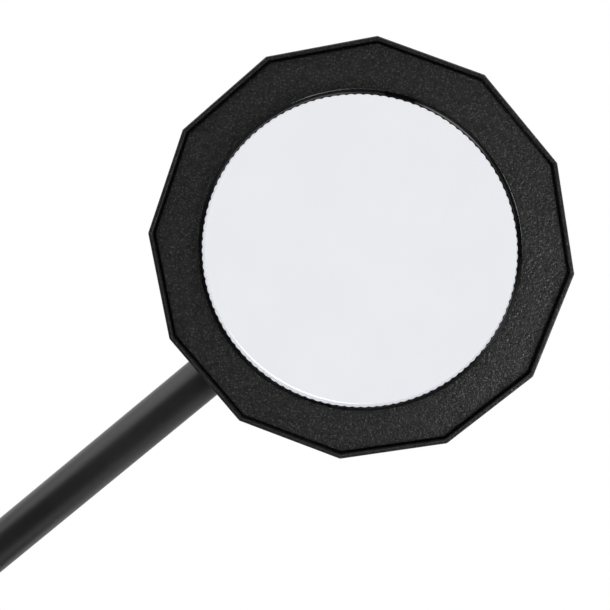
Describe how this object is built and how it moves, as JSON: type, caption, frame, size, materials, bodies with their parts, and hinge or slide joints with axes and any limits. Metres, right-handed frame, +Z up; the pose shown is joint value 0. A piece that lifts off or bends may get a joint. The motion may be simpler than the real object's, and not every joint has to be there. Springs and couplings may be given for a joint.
{
  "type": "magnifying lamp",
  "caption": "Desk magnifying lamp: twelve-sided black lens head on a two-part friction arm over a weighted twelve-sided base.",
  "frame": {"origin": "centre of the base's underside, on the surface that it stands on", "axes": "+Z up; the viewer looks at the lens along +Y from the -Y side; both arms lie in the XZ plane and the head is on the +X side"},
  "size_m": [0.2589, 0.1778, 0.4373],
  "materials": {
    "stippled_black": "fine moulded stipple, satin",
    "moulded_black": "fine moulded grain, satin",
    "gloss_black": "smooth moulded, semi-gloss",
    "glass": "polished",
    "silicone": "soft, translucent",
    "opal": "opal, satin",
    "white_board": "white solder mask",
    "diode": "phosphor under clear resin",
    "dark_screw": "black oxide",
    "bearing_polymer": "natural, low friction",
    "powder_coat": "satin black powder coat",
    "bright_steel": "zinc plated",
    "spring_steel": "drawn wire",
    "knob_black": "moulded, satin",
    "brass": "turned",
    "lead_white": "PVC sheath",
    "steel_plate": "black powder coat",
    "foam": "closed-cell foam",
    "iron": "as cast, painted",
    "green_board": "solder mask",
    "switch_black": "moulded",
    "socket_metal": "nickel plated"
  },
  "bodies": {
    "base": {"base_cover": "moulded_black", "base_plate": "steel_plate", "base_pad": "foam", "ballast": "iron", "base_screws": "dark_screw", "ballast_screws": "dark_screw", "spindle_bush": "bearing_polymer", "control_board": "green_board", "board_screws": "bright_steel", "dimmer_switch": "switch_black", "button_spring": "spring_steel", "inlet_board": "green_board", "usb_inlet": "socket_metal", "inlet_lead": "lead_white"},
    "power_button": {"power_button": "switch_black"},
    "turntable": {"turntable": "moulded_black", "shoulder_bolt": "bright_steel", "shoulder_washers": "bearing_polymer", "spindle_washer": "bright_steel", "spindle_nut": "bright_steel", "base_lead": "lead_white"},
    "shoulder_knob": {"shoulder_knob": "knob_black", "shoulder_knob_insert": "brass"},
    "lower_arm": {"lower_tube": "powder_coat", "shoulder_tongue": "moulded_black", "elbow_yoke": "moulded_black", "elbow_bolt": "bright_steel", "elbow_washers": "bearing_polymer", "lower_lead": "lead_white"},
    "elbow_knob": {"elbow_knob": "knob_black", "elbow_knob_insert": "brass"},
    "upper_arm": {"upper_tube": "powder_coat", "elbow_tongue": "moulded_black", "swivel_spigot": "bright_steel", "swivel_washer": "bright_steel", "swivel_clip": "spring_steel", "upper_lead": "lead_white"},
    "head": {"head_shell": "moulded_black", "face_plate": "stippled_black", "lens_ring": "gloss_black", "lens": "glass", "lens_gasket": "silicone", "diffuser_ring": "opal", "led_board": "white_board", "leds": "diode", "face_screws": "dark_screw", "swivel_bush": "bearing_polymer"}
  },
  "joints": [
    {"name": "base_swivel", "type": "hinge", "parent": "base", "child": "turntable", "pos_m": [0, 0, 0.02], "axis": [0, 0, 1], "range_deg": [-170, 170]},
    {"name": "shoulder_tilt", "type": "hinge", "parent": "turntable", "child": "lower_arm", "pos_m": [0, 0, 0.0499], "axis": [0, 1, 0], "range_deg": [-25, 45]},
    {"name": "elbow_tilt", "type": "hinge", "parent": "lower_arm", "child": "upper_arm", "pos_m": [-0.06498, 0, 0.22844], "axis": [0, 1, 0], "range_deg": [-65, 40]},
    {"name": "head_roll", "type": "hinge", "parent": "upper_arm", "child": "head", "pos_m": [0.11017, 0, 0.37751], "axis": [0.7615, 0, 0.6481], "range_deg": [-95, 95]},
    {"name": "shoulder_knob_turn", "type": "hinge", "parent": "turntable", "child": "shoulder_knob", "pos_m": [0, 0, 0.0499], "axis": [0, -1, 0], "range_deg": [-90, 270]},
    {"name": "elbow_knob_turn", "type": "hinge", "parent": "lower_arm", "child": "elbow_knob", "pos_m": [-0.06498, 0, 0.22844], "axis": [0, -1, 0], "range_deg": [-90, 270]},
    {"name": "button_press", "type": "slide", "parent": "base", "child": "power_button", "axis": [0, 0, -1], "range_m": [0, 0.001], "stiffness_N_per_m": 800, "springref_m": -0.0005, "deforming": ["button_spring"]}
  ]
}
